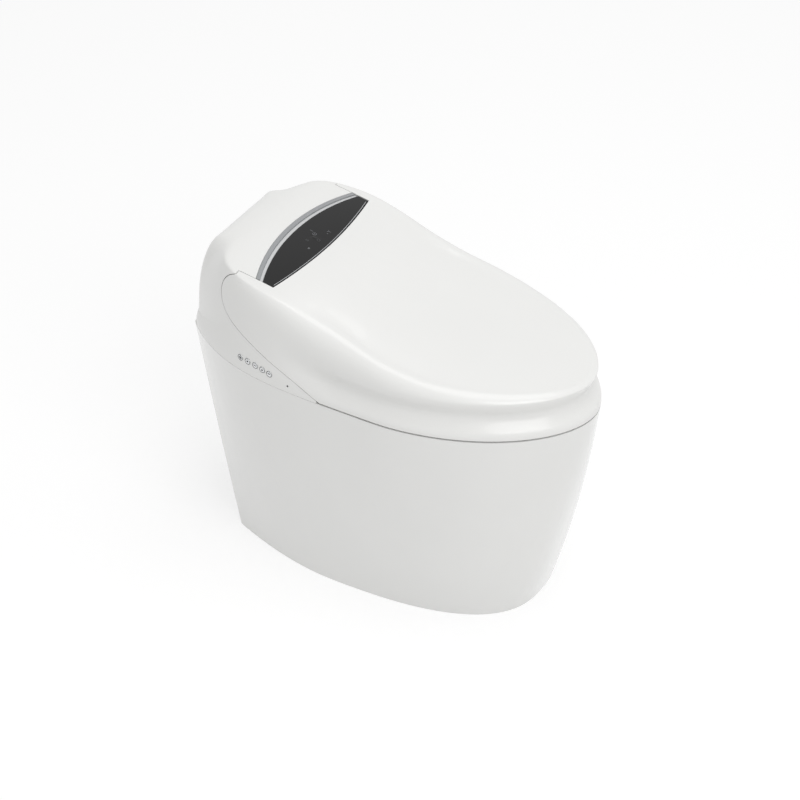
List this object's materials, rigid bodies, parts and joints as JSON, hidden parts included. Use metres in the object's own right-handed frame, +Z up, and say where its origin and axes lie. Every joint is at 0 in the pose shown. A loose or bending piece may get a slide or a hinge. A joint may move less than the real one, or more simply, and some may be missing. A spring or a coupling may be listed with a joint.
{
  "type": "smart toilet",
  "caption": "One-piece skirted smart toilet with a domed rear housing, a deep two-step lid, a heated seat, wash wands, a warm-air dryer, a display strip and side push buttons.",
  "frame": {"origin": "bottom centre of the object's box, on the floor", "axes": "+Z up, -Y the front, where the sitter faces, +Y the wall, -X the side with the buttons"},
  "size_m": [0.3854, 0.69, 0.566],
  "materials": {
    "glazed_ceramic": "glazed",
    "white_abs": "gloss",
    "white_pp": "satin",
    "silver_trim": "satin",
    "black_glass": "gloss",
    "chrome_button": "polished",
    "led_lens": "gloss",
    "steel": "brushed",
    "rubber": "matte",
    "black_rubber": "matte",
    "grey_plastic": "matte",
    "dark_plastic": "matte",
    "circuit_board": "satin",
    "brass": "machined",
    "foil": "satin",
    "acetal": "satin"
  },
  "bodies": {
    "pedestal": {"ceramic_pedestal": "glazed_ceramic", "rear_housing": "white_abs", "panel_trim": "silver_trim", "display_glass": "black_glass", "status_led_lens": "led_lens", "seat_hinge_pins": "steel", "chassis_plate": "white_pp", "deck_bolts": "steel", "deck_nuts": "steel", "lid_hinge_towers": "grey_plastic", "lid_drive": "dark_plastic", "seat_damper": "dark_plastic", "display_board": "circuit_board", "button_board": "circuit_board", "control_board": "circuit_board", "power_supply": "foil", "power_gland": "dark_plastic", "water_inlet": "brass", "inlet_valve": "grey_plastic", "flow_heater": "steel", "diverter_valve": "grey_plastic", "inlet_hose": "rubber", "heater_hose": "rubber", "feed_tubes": "acetal", "flush_valve": "grey_plastic", "flush_pipe": "white_pp", "wand_cradle": "white_pp", "wash_motor": "steel", "front_motor": "steel", "wand_port": "white_abs", "dryer_scroll": "grey_plastic", "deodoriser_case": "grey_plastic", "outlet_seal": "black_rubber", "housing_screws": "steel"},
    "lid": {"lid_shell": "white_abs", "lid_liner": "white_pp", "lid_bumpers": "rubber", "lid_hinge_stubs": "steel"},
    "seat": {"seat_top": "white_abs", "seat_base": "white_pp", "seat_heater": "foil", "seat_bumpers": "rubber"},
    "button_stop": {"button_stop": "chrome_button"},
    "button_rear_wash": {"button_rear_wash": "chrome_button"},
    "button_front_wash": {"button_front_wash": "chrome_button"},
    "button_dryer": {"button_dryer": "chrome_button"},
    "button_flush": {"button_flush": "chrome_button"},
    "wash_wand": {"wash_wand": "acetal", "wash_tip": "steel"},
    "front_wand": {"front_wand": "acetal", "front_tip": "steel"},
    "wash_pinion": {"wash_pinion": "acetal"},
    "front_pinion": {"front_pinion": "acetal"},
    "dryer_impeller": {"dryer_impeller": "dark_plastic"},
    "dryer_flap": {"dryer_flap": "white_abs"},
    "deodoriser_fan": {"deodoriser_fan": "dark_plastic"},
    "carbon_cartridge": {"carbon_cartridge": "white_abs"}
  },
  "joints": [
    {"name": "lid_hinge", "type": "hinge", "parent": "pedestal", "child": "lid", "pos_m": [0, 0.203, 0.54], "axis": [-1, 0, 0], "range_deg": [0, 98]},
    {"name": "seat_hinge", "type": "hinge", "parent": "pedestal", "child": "seat", "pos_m": [0, 0.086, 0.418], "axis": [-1, 0, 0], "range_deg": [0, 95]},
    {"name": "button_stop_press", "type": "slide", "parent": "pedestal", "child": "button_stop", "axis": [0.9711, -0.2388, 0], "range_m": [0, 0.0012], "stiffness_N_per_m": 800, "springref_m": -0.001},
    {"name": "button_rear_wash_press", "type": "slide", "parent": "pedestal", "child": "button_rear_wash", "axis": [0.9803, -0.1976, 0], "range_m": [0, 0.0012], "stiffness_N_per_m": 800, "springref_m": -0.001},
    {"name": "button_front_wash_press", "type": "slide", "parent": "pedestal", "child": "button_front_wash", "axis": [0.987, -0.1608, 0], "range_m": [0, 0.0012], "stiffness_N_per_m": 800, "springref_m": -0.001},
    {"name": "button_dryer_press", "type": "slide", "parent": "pedestal", "child": "button_dryer", "axis": [0.9915, -0.1304, 0], "range_m": [0, 0.0012], "stiffness_N_per_m": 800, "springref_m": -0.001},
    {"name": "button_flush_press", "type": "slide", "parent": "pedestal", "child": "button_flush", "axis": [0.9944, -0.1056, 0], "range_m": [0, 0.0012], "stiffness_N_per_m": 800, "springref_m": -0.001},
    {"name": "wash_wand_slide", "type": "slide", "parent": "pedestal", "child": "wash_wand", "axis": [0, -0.9659, -0.2588], "range_m": [0, 0.105]},
    {"name": "front_wand_slide", "type": "slide", "parent": "pedestal", "child": "front_wand", "axis": [0, -0.9659, -0.2588], "range_m": [0, 0.115]},
    {"name": "wash_pinion_spin", "type": "hinge", "parent": "pedestal", "child": "wash_pinion", "pos_m": [-0.0296, 0.15277, 0.43209], "axis": [0, -0.2588, 0.9659], "range_deg": [-870, 10]},
    {"name": "front_pinion_spin", "type": "hinge", "parent": "pedestal", "child": "front_pinion", "pos_m": [0.0296, 0.15277, 0.43209], "axis": [0, -0.2588, 0.9659], "range_deg": [-10, 950]},
    {"name": "dryer_flap_hinge", "type": "hinge", "parent": "pedestal", "child": "dryer_flap", "pos_m": [0.057, 0.0324, 0.4047], "axis": [-1, 0, 0], "range_deg": [0, 60]},
    {"name": "dryer_fan_spin", "type": "hinge", "parent": "pedestal", "child": "dryer_impeller", "pos_m": [0.0745, 0.15, 0.43], "axis": [1, 0, 0], "continuous": true},
    {"name": "deodoriser_fan_spin", "type": "hinge", "parent": "pedestal", "child": "deodoriser_fan", "pos_m": [0.112, 0.162, 0.404], "axis": [0, 0, 1], "continuous": true},
    {"name": "cartridge_slide", "type": "slide", "parent": "pedestal", "child": "carbon_cartridge", "axis": [1, 0, 0], "range_m": [0, 0.05]}
  ],
  "couplings": [
    {"joint": "seat_hinge", "follows": "lid_hinge", "ratio": 0.92},
    {"joint": "wash_pinion_spin", "follows": "wash_wand_slide", "rad_per_m": -142.86},
    {"joint": "front_pinion_spin", "follows": "front_wand_slide", "rad_per_m": 142.86}
  ]
}
